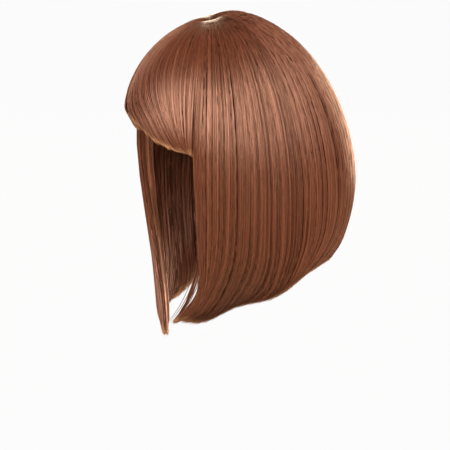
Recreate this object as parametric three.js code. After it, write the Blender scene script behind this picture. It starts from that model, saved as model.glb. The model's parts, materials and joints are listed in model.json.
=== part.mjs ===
// Bob wig with a full fringe, in the form that it has when worn. Millimetres, +Z up.
// The wearer faces -Y, +X is the wearer's left, and the origin is the top of the head, inside the cap.
// Directions round the head are turns in degrees: 0 is the front, 90 the wearer's left, 180 the back.
import * as THREE from 'three';

const FULL_TURN = 360;
const HALF_TURN = 180;

// The head that the cap fits
const HEAD_HALF_BREADTH = 76;
const HEAD_FRONT = 95;
const HEAD_BACK = 98;
const HEAD_DEPTH = 105; // from the top of the head down to its widest level

// The cap and the bare patch on its crown
const CAP_WALL = 1.5;
const PATCH_RADIUS = 14;
const PATCH_THICKNESS = 0.8;
const PATCH_MARGIN = 4; // round the patch before the hair starts down to the cap
const PATCH_SLOPE = 8; // over which it comes down
const SEAT_GAP = 0.3; // between a piece and what it sits on
const SEAM_GAP = 0.5; // between neighbouring sections of hair

// The outline of the hair
const HAIR_RISE = 10; // of the hair's top above the head
const HAIR_HEIGHT = 345; // from the hair's top to the tips in front
const HALF_WIDTH = 106;
const FRONT_REACH = 116;
const BACK_REACH = 144.5;
const BULGE_DROP = 190; // from the hair's top to the widest level at the sides
const FRINGE_FALL = 26; // of the fringe below its own widest level, where it is longest
const FRINGE_TUCK = 4; // of the fringe's hem towards the forehead
const CROWN_FULLNESS = 1.8; // in front and behind: 2 makes the crown round, and less makes it leaner
const SIDE_FULLNESS = 2.05; // the same over the ears

// The whorl, where the hair parts in all directions
const WHORL_FORWARD = 25;
const WHORL_RADIUS = 5;
const WHORL_DIP = 6.5;
const WHORL_DIP_RADIUS = 16;

// The thickness of the hair below the cap
const CURTAIN_THICKNESS = 17;
const HEM_THICKNESS = 9;
const FRINGE_THICKNESS = 10;
const FRINGE_HEM_THICKNESS = 5;

// The locks
const LOCK_WIDTH = 17;
const LOCK_RELIEF = 1.8;
const LOCK_TIP = 5;
const LOCK_WIDTH_SHARES = [1, 0.75, 1.2, 0.9, 1.1, 0.7, 1.25];
const LOCK_RELIEF_SHARES = [1, 0.7, 0.85, 0.6, 0.95];
const LOCK_SECTION = [
  { at: 0, relief: 0, tip: 0 },
  { at: 1 / 3, relief: 1, tip: 1 },
  { at: 2 / 3, relief: 0.8, tip: 0.6 },
];

// Where one section of hair ends and the next begins
const LEFT_EDGE_TURN = 46.5; // of the fringe, where the left curtain begins
const RIGHT_EDGE_TURN = 43; // the right curtain begins a little further forward
const BACK_EDGE_TURN = 112;
const FRINGE_PARTING_TURN = -12;
const FRINGE_FAN = 1; // how far the fringe's locks sweep outwards from the parting

// How finely the surfaces are divided
const CROWN_ROWS = 10;
const FALL_ROWS = 6;
const FRINGE_FALL_ROWS = 3;
const CAP_ROWS = 9;
const CAP_COLUMNS = 48;
const FACET_SAG = 0.9; // how far flat facets may lie inside the curved face that they follow
const PATCH_COLUMNS = 20;
const PATCH_RINGS = [0, 0.5, 1];
const ARC_STEPS = 16;

// The widest level all round, as a share of BULGE_DROP
const BULGE = [
  { turn: 0, drop: 0.53 },
  { turn: 24, drop: 0.545 },
  { turn: 48, drop: 0.715 },
  { turn: 62, drop: 0.86 },
  { turn: 90, drop: 1.0 },
  { turn: 120, drop: 1.0 },
  { turn: 150, drop: 0.98 },
  { turn: 180, drop: 0.965 },
];

// The fall below that level. side is a share of HALF_WIDTH, and fore one of FRONT_REACH, or of
// BACK_REACH behind the head. drop is a share of HAIR_HEIGHT. The tuck draws the hair in on its way.
const LEFT_FALL = [
  { turn: LEFT_EDGE_TURN, tuckSide: 0.69, tuckFore: -0.47, side: 0.2, fore: -0.77, drop: 0.975 },
  { turn: 60, tuckSide: 0.82, tuckFore: -0.46, side: 0.37, fore: -0.46, drop: 0.955 },
  { turn: 75, tuckSide: 0.95, tuckFore: -0.26, side: 0.57, fore: -0.18, drop: 0.895 },
  { turn: 90, tuckSide: 0.985, tuckFore: 0.0, side: 0.74, fore: 0.1, drop: 0.865 },
  { turn: 120, tuckSide: 0.85, tuckFore: 0.49, side: 0.72, fore: 0.43, drop: 0.795 },
  { turn: 150, tuckSide: 0.49, tuckFore: 0.835, side: 0.465, fore: 0.755, drop: 0.762 },
  { turn: 180, tuckSide: 0.0, tuckFore: 0.96, side: 0.0, fore: 0.85, drop: 0.75 },
];
const RIGHT_FALL = [
  { turn: RIGHT_EDGE_TURN, tuckSide: 0.7, tuckFore: -0.52, side: 0.2, fore: -0.66, drop: 1.02 },
  { turn: 52, tuckSide: 0.78, tuckFore: -0.5, side: 0.34, fore: -0.63, drop: 0.995 },
  ...LEFT_FALL.slice(1),
];

// The fringe's fall, as a share of FRINGE_FALL. It is longest over the wearer's left brow.
const FRINGE = [
  { turn: -RIGHT_EDGE_TURN, fall: 0.2 },
  { turn: -24, fall: 0.33 },
  { turn: 0, fall: 0.5 },
  { turn: 20, fall: 0.95 },
  { turn: 34, fall: 0.75 },
  { turn: LEFT_EDGE_TURN, fall: 0.3 },
];

// The cap's rim, as a share of HEAD_DEPTH below the top of the head
const RIM = [
  { turn: 0, drop: 0.6 },
  { turn: 45, drop: 0.76 },
  { turn: 90, drop: 1.02 },
  { turn: 135, drop: 1.25 },
  { turn: 180, drop: 1.4 },
];
const RIM_BLEND = 0.45; // radians past the rim in which the hair's inner face leaves the cap

// A smooth curve through one column of a table
function along(table, column, turn) {
  const last = table.length - 1;
  const slope = (i) => {
    if (i === 0 || i === last) return 0;
    const rise = table[i + 1][column] - table[i - 1][column];
    return rise / (table[i + 1].turn - table[i - 1].turn);
  };
  let i = 0;
  while (i < last - 1 && turn > table[i + 1].turn) i += 1;
  const span = table[i + 1].turn - table[i].turn;
  const t = THREE.MathUtils.clamp((turn - table[i].turn) / span, 0, 1);
  const startShare = (1 + 2 * t) * (1 - t) ** 2;
  const endShare = t * t * (3 - 2 * t);
  const startPull = t * (1 - t) ** 2 * span * slope(i);
  const endPull = t * t * (t - 1) * span * slope(i + 1);
  return startShare * table[i][column] + startPull + endShare * table[i + 1][column] + endPull;
}

// The same direction as a turn from -180 to 180
const wrapTurn = (turn) => THREE.MathUtils.euclideanModulo(turn + HALF_TURN, FULL_TURN) - HALF_TURN;

const bulgeDrop = (turn) => BULGE_DROP * along(BULGE, 'drop', Math.abs(turn));
const reachFor = (fore) => (fore < 0 ? FRONT_REACH : BACK_REACH);

// The outline of the widest level, seen from above
function bulgeOutline(turn) {
  const angle = THREE.MathUtils.degToRad(turn);
  const fore = -Math.cos(angle);
  return new THREE.Vector2(HALF_WIDTH * Math.sin(angle), fore * reachFor(fore));
}

// The height of the crown over a point in plan
function crownHeight(x, y) {
  const side = x / HALF_WIDTH;
  const fore = y / reachFor(y);
  const turn = THREE.MathUtils.radToDeg(Math.atan2(side, -fore));
  const out = Math.min(Math.hypot(side, fore), 1);
  const toSide = Math.sin(THREE.MathUtils.degToRad(turn)) ** 2;
  const fullness = THREE.MathUtils.lerp(CROWN_FULLNESS, SIDE_FULLNESS, toSide);
  const sink = 1 - (1 - out ** fullness) ** (1 / fullness);
  const fromWhorl = Math.hypot(x, y + WHORL_FORWARD) / WHORL_DIP_RADIUS;
  return HAIR_RISE - bulgeDrop(turn) * sink - WHORL_DIP * Math.exp(-(fromWhorl ** 2));
}

// The crown's surface. down is 0 at the edge of the whorl and 1 at the widest level.
function crownPoint(turn, down) {
  const edge = bulgeOutline(turn);
  const run = Math.hypot(edge.x, edge.y + WHORL_FORWARD);
  const start = Math.asin(WHORL_RADIUS / run);
  const out = Math.sin(THREE.MathUtils.lerp(start, Math.PI / 2, down));
  const x = out * edge.x;
  const y = THREE.MathUtils.lerp(-WHORL_FORWARD, edge.y, out);
  return new THREE.Vector3(x, y, crownHeight(x, y));
}

// The surface below the widest level. down is 0 there and 1 at the hem.
function fallPoint(turn, down) {
  const table = turn < 0 ? RIGHT_FALL : LEFT_FALL;
  const hand = Math.sign(turn);
  const at = (column) => along(table, column, Math.abs(turn));
  const start = bulgeOutline(turn);
  const place = (side, fore) => new THREE.Vector2(hand * side * HALF_WIDTH, fore * reachFor(fore));
  const tuck = place(at('tuckSide'), at('tuckFore'));
  const hem = place(at('side'), at('fore'));
  const plan = new THREE.CubicBezierCurve(start, start, tuck, hem).getPoint(down);
  const drop = THREE.MathUtils.lerp(bulgeDrop(turn), at('drop') * HAIR_HEIGHT, down);
  return new THREE.Vector3(plan.x, plan.y, HAIR_RISE - drop);
}

// The fringe below its widest level
function fringeFallPoint(turn, down) {
  const edge = bulgeOutline(turn);
  edge.setLength(edge.length() - FRINGE_TUCK * down * down);
  const drop = bulgeDrop(turn) + FRINGE_FALL * along(FRINGE, 'fall', turn) * down;
  return new THREE.Vector3(edge.x, edge.y, HAIR_RISE - drop);
}

// The head's centre, towards which the hair's thickness is measured
const HEAD_CENTRE = new THREE.Vector3(0, 0, -HEAD_DEPTH);

// How far a direction from the head's centre must be scaled to end on the head grown by some margin
function headScale(direction, grow) {
  const side = direction.x / (HEAD_HALF_BREADTH + grow);
  const fore = direction.y / ((direction.y < 0 ? HEAD_FRONT : HEAD_BACK) + grow);
  const up = direction.z / (HEAD_DEPTH + grow);
  return 1 / Math.hypot(side, fore, up);
}

// The angle from straight up, at the head's centre, of the cap's rim
const rimAngle = (turn) => Math.acos(1 - along(RIM, 'drop', Math.abs(turn)));

// A point of the head grown by some margin. down is 0 at the top of the head and 1 at the cap's rim.
function capPoint(turn, down, grow) {
  const around = THREE.MathUtils.degToRad(turn);
  const fromTop = rimAngle(turn) * down;
  const fore = -Math.cos(around);
  const x = (HEAD_HALF_BREADTH + grow) * Math.sin(fromTop) * Math.sin(around);
  const y = ((fore < 0 ? HEAD_FRONT : HEAD_BACK) + grow) * Math.sin(fromTop) * fore;
  return new THREE.Vector3(x, y, -HEAD_DEPTH + (HEAD_DEPTH + grow) * Math.cos(fromTop));
}

// The hair's inner face behind a point of its outer face: on the cap, and past the rim one wall in
function innerPoint(point, thickness) {
  const fromWhorl = Math.hypot(point.x, point.y + WHORL_FORWARD);
  const slopeStart = PATCH_RADIUS + PATCH_MARGIN;
  const overPatch = 1 - THREE.MathUtils.smoothstep(fromWhorl, slopeStart, slopeStart + PATCH_SLOPE);
  const grow = CAP_WALL + SEAT_GAP + FACET_SAG + overPatch * (PATCH_THICKNESS + SEAT_GAP);
  const direction = point.clone().sub(HEAD_CENTRE);
  const scale = headScale(direction, grow);
  const onCap = direction.clone().multiplyScalar(scale);
  const turn = THREE.MathUtils.radToDeg(Math.atan2(direction.x, -direction.y));
  const fromTop = Math.acos(THREE.MathUtils.clamp(onCap.z / (HEAD_DEPTH + grow), -1, 1));
  const pastRim = THREE.MathUtils.smoothstep(fromTop - rimAngle(turn), 0, RIM_BLEND);
  const inwards = new THREE.Vector3(-direction.x, -direction.y, 0).normalize();
  const oneWallIn = point.clone().addScaledVector(inwards, thickness);
  return onCap.add(HEAD_CENTRE).lerp(oneWallIn, pastRim);
}

// A closed solid between an outer and an inner grid of points, both as rows from top to bottom. Columns
// run anticlockwise, seen from above. A ring joins its last column to its first and starts at one point.
function shellGeometry(outer, inner, isRing) {
  const rows = outer.length;
  const columns = outer[0].length;
  const positions = [...outer.flat(), ...inner.flat()].flatMap((p) => [p.x, p.y, p.z]);
  const outerAt = (row, column) => row * columns + (column % columns);
  const innerAt = (row, column) => rows * columns + outerAt(row, column);
  const index = [];
  const quad = (a, b, c, d) => index.push(a, b, c, a, c, d);
  const spans = isRing ? columns : columns - 1;
  for (let row = 0; row < rows - 1; row += 1) {
    for (let column = 0; column < spans; column += 1) {
      const next = column + 1;
      if (isRing && row === 0) {
        index.push(outerAt(0, column), outerAt(1, column), outerAt(1, next));
        index.push(innerAt(0, column), innerAt(1, next), innerAt(1, column));
        continue;
      }
      quad(outerAt(row, column), outerAt(row + 1, column), outerAt(row + 1, next), outerAt(row, next));
      quad(innerAt(row, column), innerAt(row, next), innerAt(row + 1, next), innerAt(row + 1, column));
    }
    if (isRing) continue;
    const end = columns - 1;
    quad(outerAt(row, 0), innerAt(row, 0), innerAt(row + 1, 0), outerAt(row + 1, 0));
    quad(outerAt(row, end), outerAt(row + 1, end), innerAt(row + 1, end), innerAt(row, end));
  }
  const bottom = rows - 1;
  for (let column = 0; column < spans; column += 1) {
    const next = column + 1;
    quad(outerAt(bottom, column), innerAt(bottom, column), innerAt(bottom, next), outerAt(bottom, next));
    if (isRing) continue;
    quad(outerAt(0, column), outerAt(0, next), innerAt(0, next), innerAt(0, column));
  }
  const geometry = new THREE.BufferGeometry();
  geometry.setAttribute('position', new THREE.Float32BufferAttribute(positions, 3));
  geometry.setIndex(index);
  geometry.computeVertexNormals();
  return geometry;
}

// The length of the widest level between two turns
function arcLength(from, to) {
  const steps = Array.from({ length: ARC_STEPS + 1 }, (_, i) => i / ARC_STEPS);
  const corners = steps.map((step) => bulgeOutline(THREE.MathUtils.lerp(from, to, step)));
  return corners.slice(1).reduce((sum, corner, i) => sum + corner.distanceTo(corners[i]), 0);
}

// The columns of a section of hair, with the relief and the length of the lock's tip at each
function lockColumns(width) {
  const locks = Math.max(2, Math.round(width / LOCK_WIDTH));
  const shares = Array.from({ length: locks }, (_, i) => LOCK_WIDTH_SHARES[i % LOCK_WIDTH_SHARES.length]);
  const total = shares.reduce((sum, share) => sum + share, 0);
  let start = 0;
  const columns = shares.flatMap((share, i) => {
    const relief = LOCK_RELIEF_SHARES[i % LOCK_RELIEF_SHARES.length];
    const from = start;
    start += share / total;
    return LOCK_SECTION.map((part) => ({
      at: from + (part.at * share) / total,
      relief: part.relief * relief,
      tip: part.tip,
    }));
  });
  return [...columns, { at: 1, relief: 0, tip: 0 }];
}

// One section of hair. turnAt gives the turn of a share of its width at a share of its way down.
function hairSection(name, material, { from, to, turnAt, fallAt, fallRows, thickness, hemThickness }) {
  const columns = lockColumns(arcLength(from, to));
  const outer = [];
  const inner = [];
  const rows = CROWN_ROWS + fallRows;
  for (let row = 0; row <= rows; row += 1) {
    const isCrown = row <= CROWN_ROWS;
    const down = isCrown ? row / CROWN_ROWS : (row - CROWN_ROWS) / fallRows;
    const pointAt = (turn) => (isCrown ? crownPoint(wrapTurn(turn), down) : fallAt(wrapTurn(turn), down));
    const wall = isCrown ? thickness : THREE.MathUtils.lerp(thickness, hemThickness, down);
    const grown = THREE.MathUtils.smoothstep(row, 1, CROWN_ROWS);
    const outerRow = [];
    const innerRow = [];
    columns.forEach((column, i) => {
      const turn = turnAt(column.at, row / rows);
      const point = pointAt(turn);
      const behind = innerPoint(point, wall);
      const outwards = point.clone().sub(behind).normalize();
      point.addScaledVector(outwards, LOCK_RELIEF * column.relief * grown);
      if (row === rows) {
        point.z -= LOCK_TIP * column.tip;
        behind.z -= LOCK_TIP * column.tip;
      }
      const isFirst = i === 0;
      if (isFirst || i === columns.length - 1) {
        const shift = pointAt(turn + 1).sub(pointAt(turn - 1)).setZ(0).setLength(SEAM_GAP / 2);
        if (!isFirst) shift.negate();
        point.add(shift);
        behind.add(shift);
      }
      outerRow.push(point);
      innerRow.push(behind);
    });
    outer.push(outerRow);
    inner.push(innerRow);
  }
  const mesh = new THREE.Mesh(shellGeometry(outer, inner, false), material);
  mesh.name = name;
  return mesh;
}

// A section whose locks hang straight down between two turns
function hangingSection(name, material, from, to) {
  return hairSection(name, material, {
    from,
    to,
    turnAt: (share) => THREE.MathUtils.lerp(from, to, share),
    fallAt: fallPoint,
    fallRows: FALL_ROWS,
    thickness: CURTAIN_THICKNESS,
    hemThickness: HEM_THICKNESS,
  });
}

// The fringe, whose locks sweep away from its parting on their way down
function fringeSection(name, material) {
  const turnAt = (share, down) => {
    const turn = THREE.MathUtils.lerp(-RIGHT_EDGE_TURN, LEFT_EDGE_TURN, share);
    const side = turn < FRINGE_PARTING_TURN ? -RIGHT_EDGE_TURN : LEFT_EDGE_TURN;
    const fromParting = (turn - FRINGE_PARTING_TURN) / (side - FRINGE_PARTING_TURN);
    const swept = fromParting ** (1 / (1 + FRINGE_FAN * down * down));
    return THREE.MathUtils.lerp(FRINGE_PARTING_TURN, side, swept);
  };
  return hairSection(name, material, {
    from: -RIGHT_EDGE_TURN,
    to: LEFT_EDGE_TURN,
    turnAt,
    fallAt: fringeFallPoint,
    fallRows: FRINGE_FALL_ROWS,
    thickness: FRINGE_THICKNESS,
    hemThickness: FRINGE_HEM_THICKNESS,
  });
}

// The cap: an open dome as thick as its wall, down to a rim that is lower behind the ears and at the nape
function capMesh(name, material) {
  const grid = (grow) => Array.from({ length: CAP_ROWS + 1 }, (_, row) => (
    Array.from({ length: CAP_COLUMNS }, (_, column) => (
      capPoint(wrapTurn((column * FULL_TURN) / CAP_COLUMNS), row / CAP_ROWS, grow)
    ))
  ));
  const mesh = new THREE.Mesh(shellGeometry(grid(CAP_WALL), grid(0), true), material);
  mesh.name = name;
  return mesh;
}

// The bare patch at the whorl: a thin round piece that lies on the cap
function patchMesh(name, material) {
  const heightOn = (x, y, grow) => {
    const side = x / (HEAD_HALF_BREADTH + grow);
    const fore = y / ((y < 0 ? HEAD_FRONT : HEAD_BACK) + grow);
    return -HEAD_DEPTH + (HEAD_DEPTH + grow) * Math.sqrt(1 - side * side - fore * fore);
  };
  const grid = (grow) => PATCH_RINGS.map((share) => (
    Array.from({ length: PATCH_COLUMNS }, (_, column) => {
      const around = (column / PATCH_COLUMNS) * Math.PI * 2;
      const x = share * PATCH_RADIUS * Math.sin(around);
      const y = -WHORL_FORWARD - share * PATCH_RADIUS * Math.cos(around);
      return new THREE.Vector3(x, y, heightOn(x, y, grow));
    })
  ));
  const under = CAP_WALL + SEAT_GAP;
  const mesh = new THREE.Mesh(shellGeometry(grid(under + PATCH_THICKNESS), grid(under), true), material);
  mesh.name = name;
  return mesh;
}

const hair = new THREE.MeshStandardMaterial({ color: 0x7a4a32, roughness: 0.45, metalness: 0 });
const capCloth = new THREE.MeshStandardMaterial({ color: 0x3a2a22, roughness: 0.9, metalness: 0 });
const skinTone = new THREE.MeshStandardMaterial({ color: 0xe6cdb8, roughness: 0.8, metalness: 0 });

const wig = new THREE.Group();
wig.name = 'bob_wig';
wig.add(capMesh('cap', capCloth));
wig.add(patchMesh('crown_patch', skinTone));
wig.add(fringeSection('fringe', hair));
wig.add(hangingSection('left_side_hair', hair, LEFT_EDGE_TURN, BACK_EDGE_TURN));
wig.add(hangingSection('right_side_hair', hair, -BACK_EDGE_TURN, -RIGHT_EDGE_TURN));
wig.add(hangingSection('back_hair', hair, BACK_EDGE_TURN, FULL_TURN - BACK_EDGE_TURN));

export default wig;
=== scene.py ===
# Bob wig with a full fringe, in the form that it has when worn. Metres, +Z up, the wearer faces -Y.
# Directions round the head are turns in degrees: 0 is the front, 90 the wearer's left, 180 the back.
# A way runs down the hair: 0 at the whorl on the crown and 1 at the hem.
import json

import bpy
import numpy as np
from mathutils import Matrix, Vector

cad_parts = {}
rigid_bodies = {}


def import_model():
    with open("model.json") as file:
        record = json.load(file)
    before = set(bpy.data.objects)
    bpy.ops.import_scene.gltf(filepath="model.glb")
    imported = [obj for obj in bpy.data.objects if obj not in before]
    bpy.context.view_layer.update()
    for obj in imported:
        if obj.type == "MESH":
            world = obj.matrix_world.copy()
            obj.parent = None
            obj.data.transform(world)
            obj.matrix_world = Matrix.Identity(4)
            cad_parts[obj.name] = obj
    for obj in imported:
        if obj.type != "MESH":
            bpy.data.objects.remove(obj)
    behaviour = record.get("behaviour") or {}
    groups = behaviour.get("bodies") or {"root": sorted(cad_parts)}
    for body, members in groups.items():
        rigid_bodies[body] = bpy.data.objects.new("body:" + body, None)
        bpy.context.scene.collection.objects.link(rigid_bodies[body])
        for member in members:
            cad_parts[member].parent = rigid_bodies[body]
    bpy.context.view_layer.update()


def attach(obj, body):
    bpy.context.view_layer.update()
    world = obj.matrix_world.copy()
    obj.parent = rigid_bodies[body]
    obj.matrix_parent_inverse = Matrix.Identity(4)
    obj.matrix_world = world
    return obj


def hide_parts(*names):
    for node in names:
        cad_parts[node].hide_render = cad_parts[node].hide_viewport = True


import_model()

# The camera, at the photograph's angle
CAMERA_TURN = 65.5
CAMERA_RISE = 13.0
CAMERA_DISTANCE = 1.5
CAMERA_LENS = 107.1
CAMERA_TARGET = (-0.0028, -0.0061, -0.2275)

# The head that the cap fits
HEAD_HALF_BREADTH = 0.076
HEAD_FRONT = 0.095
HEAD_BACK = 0.098
HEAD_DEPTH = 0.105

# The cap and the bare patch on its crown
CAP_WALL = 0.0015
PATCH_RADIUS = 0.014
PATCH_THICKNESS = 0.0008
PATCH_MARGIN = 0.004
PATCH_SLOPE = 0.008
SEAT_GAP = 0.0003

CAP_SEGMENTS = 96
CAP_RINGS = 24
PATCH_SEGMENTS = 48
PATCH_RINGS = 12

# The outline of the hair
HAIR_RISE = 0.010
HAIR_HEIGHT = 0.345
HALF_WIDTH = 0.106
FRONT_REACH = 0.116
BACK_REACH = 0.1445
BULGE_DROP = 0.190
FRINGE_FALL = 0.026
FRINGE_TUCK = 0.004
CROWN_FULLNESS = 1.8
SIDE_FULLNESS = 2.05
WHORL_FORWARD = 0.025
WHORL_RADIUS = 0.005
WHORL_DIP = 0.0065
WHORL_DIP_RADIUS = 0.016
CURTAIN_THICKNESS = 0.017
HEM_THICKNESS = 0.009
FRINGE_THICKNESS = 0.010
FRINGE_HEM_THICKNESS = 0.005
LEFT_EDGE_TURN = 46.5
RIGHT_EDGE_TURN = 43.0
BACK_EDGE_TURN = 112.0
FRINGE_PARTING_TURN = -12.0
FRINGE_FAN = 3.0
FULL_TURN = 360.0
HALF_TURN = 180.0

# The widest level all round, as a share of BULGE_DROP
BULGE = {
    "turn": (0, 24, 48, 62, 90, 120, 150, 180),
    "drop": (0.53, 0.545, 0.715, 0.86, 1.0, 1.0, 0.98, 0.965),
}

# The fall below that level, in shares of HALF_WIDTH, of the reach in front or behind, and of HAIR_HEIGHT
LEFT_FALL = {
    "turn": (LEFT_EDGE_TURN, 60, 75, 90, 120, 150, 180),
    "tuck_side": (0.69, 0.82, 0.95, 0.985, 0.85, 0.49, 0.0),
    "tuck_fore": (-0.47, -0.46, -0.26, 0.0, 0.49, 0.835, 0.96),
    "side": (0.2, 0.37, 0.57, 0.74, 0.72, 0.465, 0.0),
    "fore": (-0.77, -0.46, -0.18, 0.1, 0.43, 0.755, 0.85),
    "drop": (0.975, 0.955, 0.895, 0.865, 0.795, 0.762, 0.75),
}
RIGHT_FALL = {
    "turn": (RIGHT_EDGE_TURN, 52, *LEFT_FALL["turn"][1:]),
    "tuck_side": (0.7, 0.78, *LEFT_FALL["tuck_side"][1:]),
    "tuck_fore": (-0.52, -0.5, *LEFT_FALL["tuck_fore"][1:]),
    "side": (0.2, 0.34, *LEFT_FALL["side"][1:]),
    "fore": (-0.66, -0.63, *LEFT_FALL["fore"][1:]),
    "drop": (1.02, 0.995, *LEFT_FALL["drop"][1:]),
}

# The fringe's fall, as a share of FRINGE_FALL
FRINGE = {
    "turn": (-RIGHT_EDGE_TURN, -24, 0, 20, 34, LEFT_EDGE_TURN),
    "fall": (0.2, 0.33, 0.5, 0.95, 0.75, 0.3),
}

# The cap's rim, as a share of HEAD_DEPTH below the top of the head
RIM = {
    "turn": (0, 45, 90, 135, 180),
    "drop": (0.6, 0.76, 1.02, 1.25, 1.4),
}
RIM_BLEND = 0.45

# How far past the hem of the bed the strands reach, in shares of the way
REACH = {
    "turn": (-150, -112, -90, -75, -60, -50, -RIGHT_EDGE_TURN, LEFT_EDGE_TURN, 60, 75, 90, 112, 140),
    "reach": (0.048, 0.028, 0.005, -0.012, -0.02, -0.005, 0.014, -0.002, -0.01, 0.016, 0.026, 0.03, 0.048),
}

# The free front edges of the side curtains, which are rounded from one way on
EDGE_ROUND_TURNS = 4.0
EDGE_ROUND_START = 0.3

# How far back the near curtain's front edge slips by its tip: over these turns and between these ways
SLIP_TURNS = 12.0
SLIP_START = 0.78
SLIP_MIDDLE = 0.92
SLIP_RETURN = 0.5
WISP_SHARE = 0.03  # of the edge strands, which stay in front of the slipped ones
WISP_STRAY = (0.3, 1)

# The rounding of the hem and of the edges
HEM_ROUND_WAY = 0.035
HEM_ROUND_SHARE = 0.5
EDGE_PULL = 0.49
EDGE_ANGLE = np.radians(50)
SEAM_SPREAD = 2.5  # degrees by which strands run over the seam with the next section

# The solid bed of each section, under its strands
BED_COLUMN_TURNS = 1.2
BED_ROWS = 36
BED_LOCK_TURNS = 5.0
BED_RELIEF = 0.0012
BED_SHORT = 0.02  # of the way, by which the bed ends before the strands
BED_RELIEF_START = 0.05
BED_RELIEF_END = 0.5

# How far the hair lies under the outline of the crown, and where this starts and ends
CROWN_SINK = 0.0018
SINK_RISE = (0.03, 0.18)  # of the whole way
SINK_FALL = (0.7, 1.1)  # of the way down the crown

# The layers of strands. Lift is over the face of the section, and depth runs from its outer face, 0, to
# its inner face, 1. Hand is 1 where a strand lies on the outside and -1 inside.
# The under layer's low tone is painted shade, which darkens the gaps between the locks over it
UNDER_STRANDS = {
    "name": "under_strands", "seed": 1, "per_turn": 4.8, "rings": (4, 10, 5), "width": 0.0014, "lock": 7.0,
    "lift": 0.0002, "round": 0.0004, "depth": (0, 0), "hand": 1, "whorl_share": 0.5, "root": (0.02, 0.4),
    "tone": 0.2,
}
OVER_STRANDS = {
    "name": "over_strands", "seed": 2, "per_turn": 10, "rings": (5, 12, 6), "width": 0.0007, "lock": 3.2,
    "lift": 0.0009, "round": 0.0006, "depth": (0, 0), "hand": 1, "whorl_share": 0.5, "root": (0.02, 0.45),
    "tone": 0.52,
}
INNER_STRANDS = {
    "name": "inner_strands", "seed": 3, "per_turn": 4, "rings": (1, 4, 5), "width": 0.0012, "lock": 5.0,
    "lift": 0.0003, "round": 0.0008, "depth": (1, 1), "hand": -1, "whorl_share": 0.0, "root": (0.5, 0.6),
    "tone": 0.4,
}
HEM_STRANDS = {
    "name": "hem_strands", "seed": 4, "per_turn": 6, "rings": (1, 1, 4), "width": 0.0012, "lock": 4.0,
    "lift": 0.0, "round": 0.0, "depth": (0.1, 0.9), "hand": 1, "whorl_share": 0.0, "root": (0.88, 0.92),
    "tone": 0.5,
}
# The edge strands' high tone is painted light, a golden rim along the free edges of the curtains
EDGE_STRANDS = {
    "name": "edge_strands", "seed": 5, "per_turn": 60, "rings": (2, 12, 6), "width": 0.0009, "lock": 1.5,
    "lift": 0.0004, "round": 0.0003, "depth": (0, 1), "hand": 0, "whorl_share": 0.0, "root": (0.3, 0.5),
    "tone": 0.85,
}
# The shares of a strand at which its rings by the root end and its rings by the hem start
ROOT_RINGS_END = 0.065
HEM_RINGS_START = 0.76
RING_SHIFT = 0.45
FRINGE_RING_FACTOR = 1.6

# How strands sweep near the hem: forwards round the sides, and away from the fringe's parting
SWEEP_START = 0.8
SWEEP_TURNS = 14.0
SWEEP_SIDE_ROOM = 20.0
SWEEP_BACK_ROOM = 40.0
FRINGE_SWEEP_START = 0.7
FRINGE_SWEEP_TURNS = 16.0
FRINGE_SWEEP_ROOM = 24.0
LONG_TIP_SLOWING = 0.3
EDGE_STRAND_TURNS = 2.5
STRAND_RIDGE = 0.6
SIDE_ROOM = 0.05  # degrees that strands keep to the sides of their section
CELL_MARGIN = 0.1
LOCK_SQUEEZE = 0.12  # of the width of a lock, at the hem
TIP_ROUND = 0.004
TIP_SCATTER = 0.005
TIP_ROUND_MEAN = 0.4
LONG_TIP_SHARE = 0.04
LONG_TIP = 0.012

# How far past the hem of its bed the fringe's strands reach, and how unevenly, in shares of the way
FRINGE_REACH = 0.012
FRINGE_LOCK_SCATTER = 0.02
FRINGE_TIP_SCATTER = 0.025

# How strands leave the whorl and their roots
WHORL_ROOT = 0.004  # of the way, within which the strands at the whorl start
ROOT_RISE = 0.12
ROOT_SINK = 0.0006
ROOT_LIFT = 0.35
LIFT_END = 0.3
PLUNGE = 0.6
PLUNGE_RUN = 0.004
PLUNGE_LEVEL = -0.002

# How strands wander sideways, in degrees, and draw together in locks from one way to another
WIDE_WANDER = 0.2
WIDE_WAVES = 3
FINE_WANDER = 0.05
FINE_WAVES = 9
WANDER_START = 0.1
WANDER_END = 0.6
SQUEEZE_START = 0.35
SQUEEZE_END = 1.05
FACE_STEP = 0.4  # degrees to the side at which the slope of a face is read

# The least widths of a strand, in shares of its full width, and where it has its full width
WHORL_WIDTH = 0.4
WHORL_NARROW_OUT = 0.004
WHORL_WIDE_OUT = 0.05
ROOT_WIDTH = 0.3
TIP_WIDTH = 0.08
TIP_TAPER = 0.12
WIDTH_RANGE = (0.6, 1.4)
LIFT_RANGE = (0.5, 1.5)

# The tones: how much locks and strands differ, the painted shade that darkens the strands at the edges of
# locks, in the grooves, and how dark the roots are
LOCK_TONE = 0.03
STRAND_TONE = 0.21
GROOVE_PAINTED_SHADE = 0.4
GROOVE_SHADE_POWER = 12
ROOT_TONE = -0.25
ROOT_TONE_END = 0.2
# Painted light at the tips: a golden colour, mixed in over a length, for the light that the curled hem and
# the thin ends catch from below and behind
TIP_LIGHT_SHARE = 0.65
TIP_LIGHT_LENGTH = 0.014


# The camera and the stage


def direction(turn, rise):
    """The unit vector towards a turn round the head and a rise above the horizon."""
    turn = np.radians(turn)
    rise = np.radians(rise)
    return Vector((np.sin(turn) * np.cos(rise), -np.cos(turn) * np.cos(rise), np.sin(rise)))


def add_camera():
    """The camera, which looks at the middle of the hair from the photograph's angle."""
    camera = bpy.data.objects.new("camera", bpy.data.cameras.new("camera"))
    bpy.context.scene.collection.objects.link(camera)
    towards = direction(CAMERA_TURN, CAMERA_RISE)
    camera.location = Vector(CAMERA_TARGET) + towards * CAMERA_DISTANCE
    camera.rotation_mode = "QUATERNION"
    camera.rotation_quaternion = (-towards).to_track_quat("-Z", "Y")
    camera.data.lens = CAMERA_LENS
    camera.data.clip_end = 100.0
    bpy.context.scene.camera = camera


add_camera()


# The form of the hair


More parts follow.
